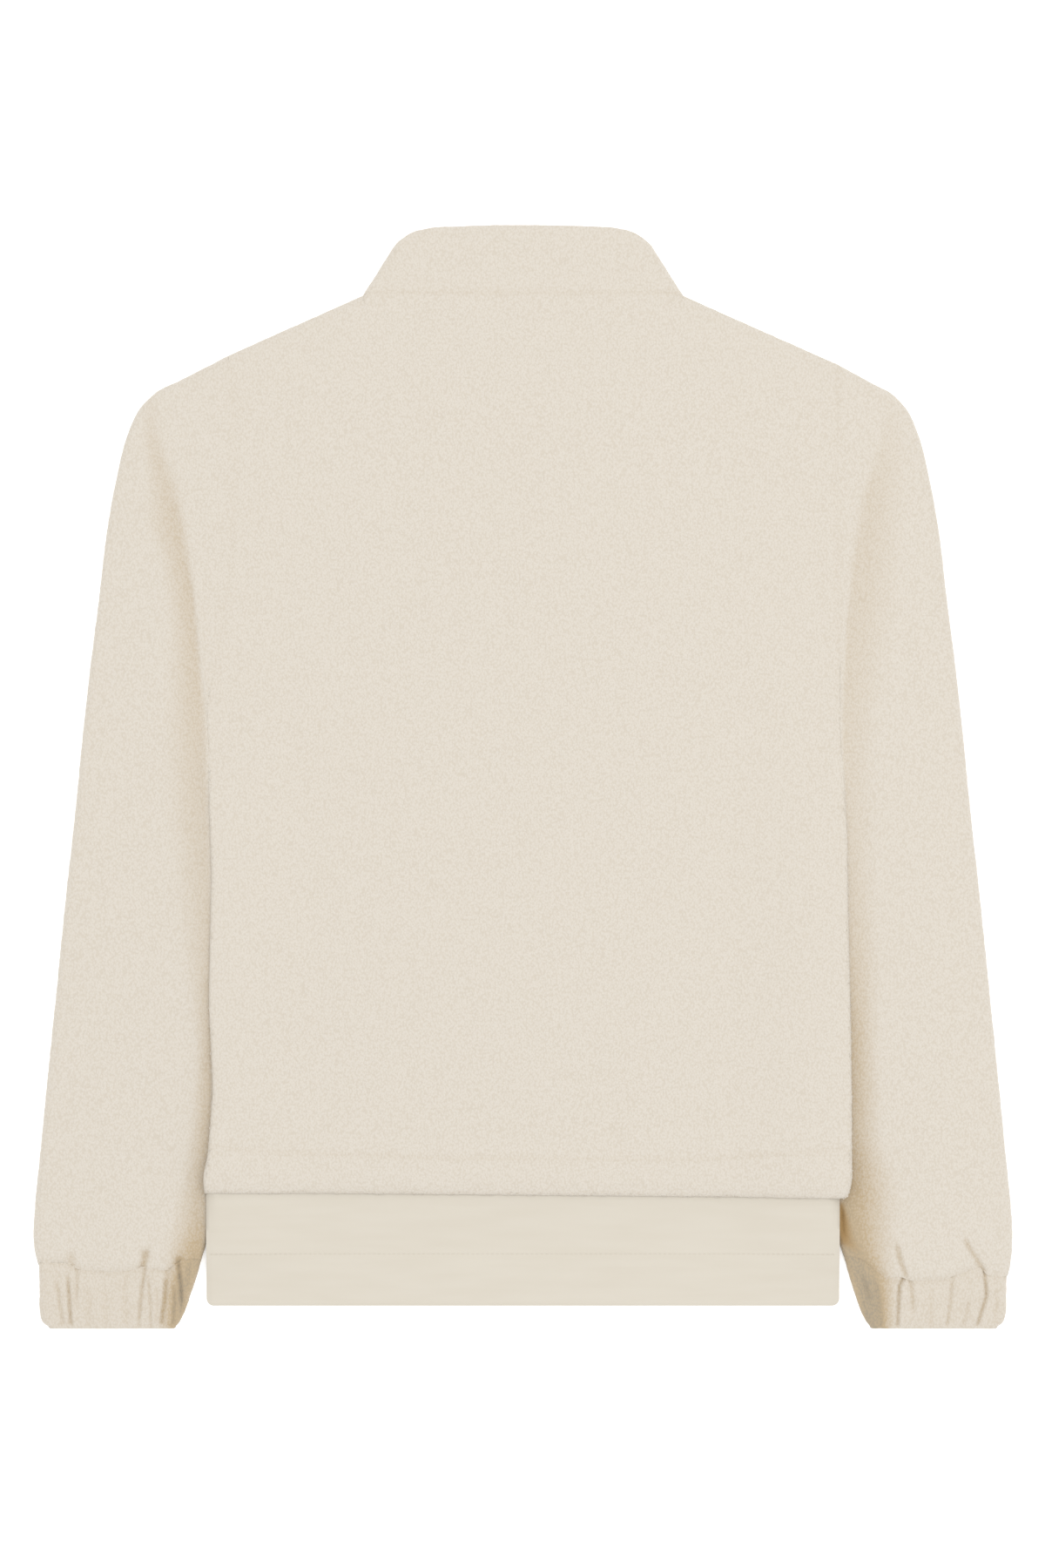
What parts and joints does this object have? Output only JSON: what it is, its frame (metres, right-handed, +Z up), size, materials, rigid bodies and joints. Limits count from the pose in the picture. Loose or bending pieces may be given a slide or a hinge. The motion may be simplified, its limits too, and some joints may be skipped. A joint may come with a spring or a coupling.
{
  "type": "knit bomber jacket",
  "caption": "Bouclé knit bomber jacket with a stand collar, gathered cuffs and a smooth woven hem band, closed and laid flat on its front.",
  "frame": {"origin": "centre of the footprint, on the surface that the jacket lies on", "axes": "+X across the jacket towards the wearer's right, +Y from the hem to the collar, +Z up, out of the back that faces upwards"},
  "size_m": [0.6758, 0.7595, 0.0197],
  "materials": {
    "boucle": "cream bouclé knit with a short looped pile",
    "woven_band": "smooth matt ivory woven cloth",
    "zip_tape": "matt woven tape",
    "zip_metal": "pale satin metal"
  },
  "bodies": {
    "jacket": {"back_panel": "boucle", "front_panel_left": "boucle", "front_panel_right": "boucle", "sleeve_left": "boucle", "sleeve_right": "boucle", "collar": "boucle", "cuff_left": "boucle", "cuff_right": "boucle", "hem_band_back": "woven_band", "hem_band_front_left": "woven_band", "hem_band_front_right": "woven_band", "zip_tape_left": "zip_tape", "zip_tape_right": "zip_tape", "zip_chain": "zip_metal", "zip_box": "zip_metal", "zip_slider": "zip_metal"},
    "pull": {"zip_pull": "zip_metal"}
  },
  "joints": [
    {"name": "pull_swing", "type": "hinge", "parent": "jacket", "child": "pull", "pos_m": [0, 0.291, 0.0014], "axis": [1, 0, 0], "range_deg": [0, 175]}
  ]
}
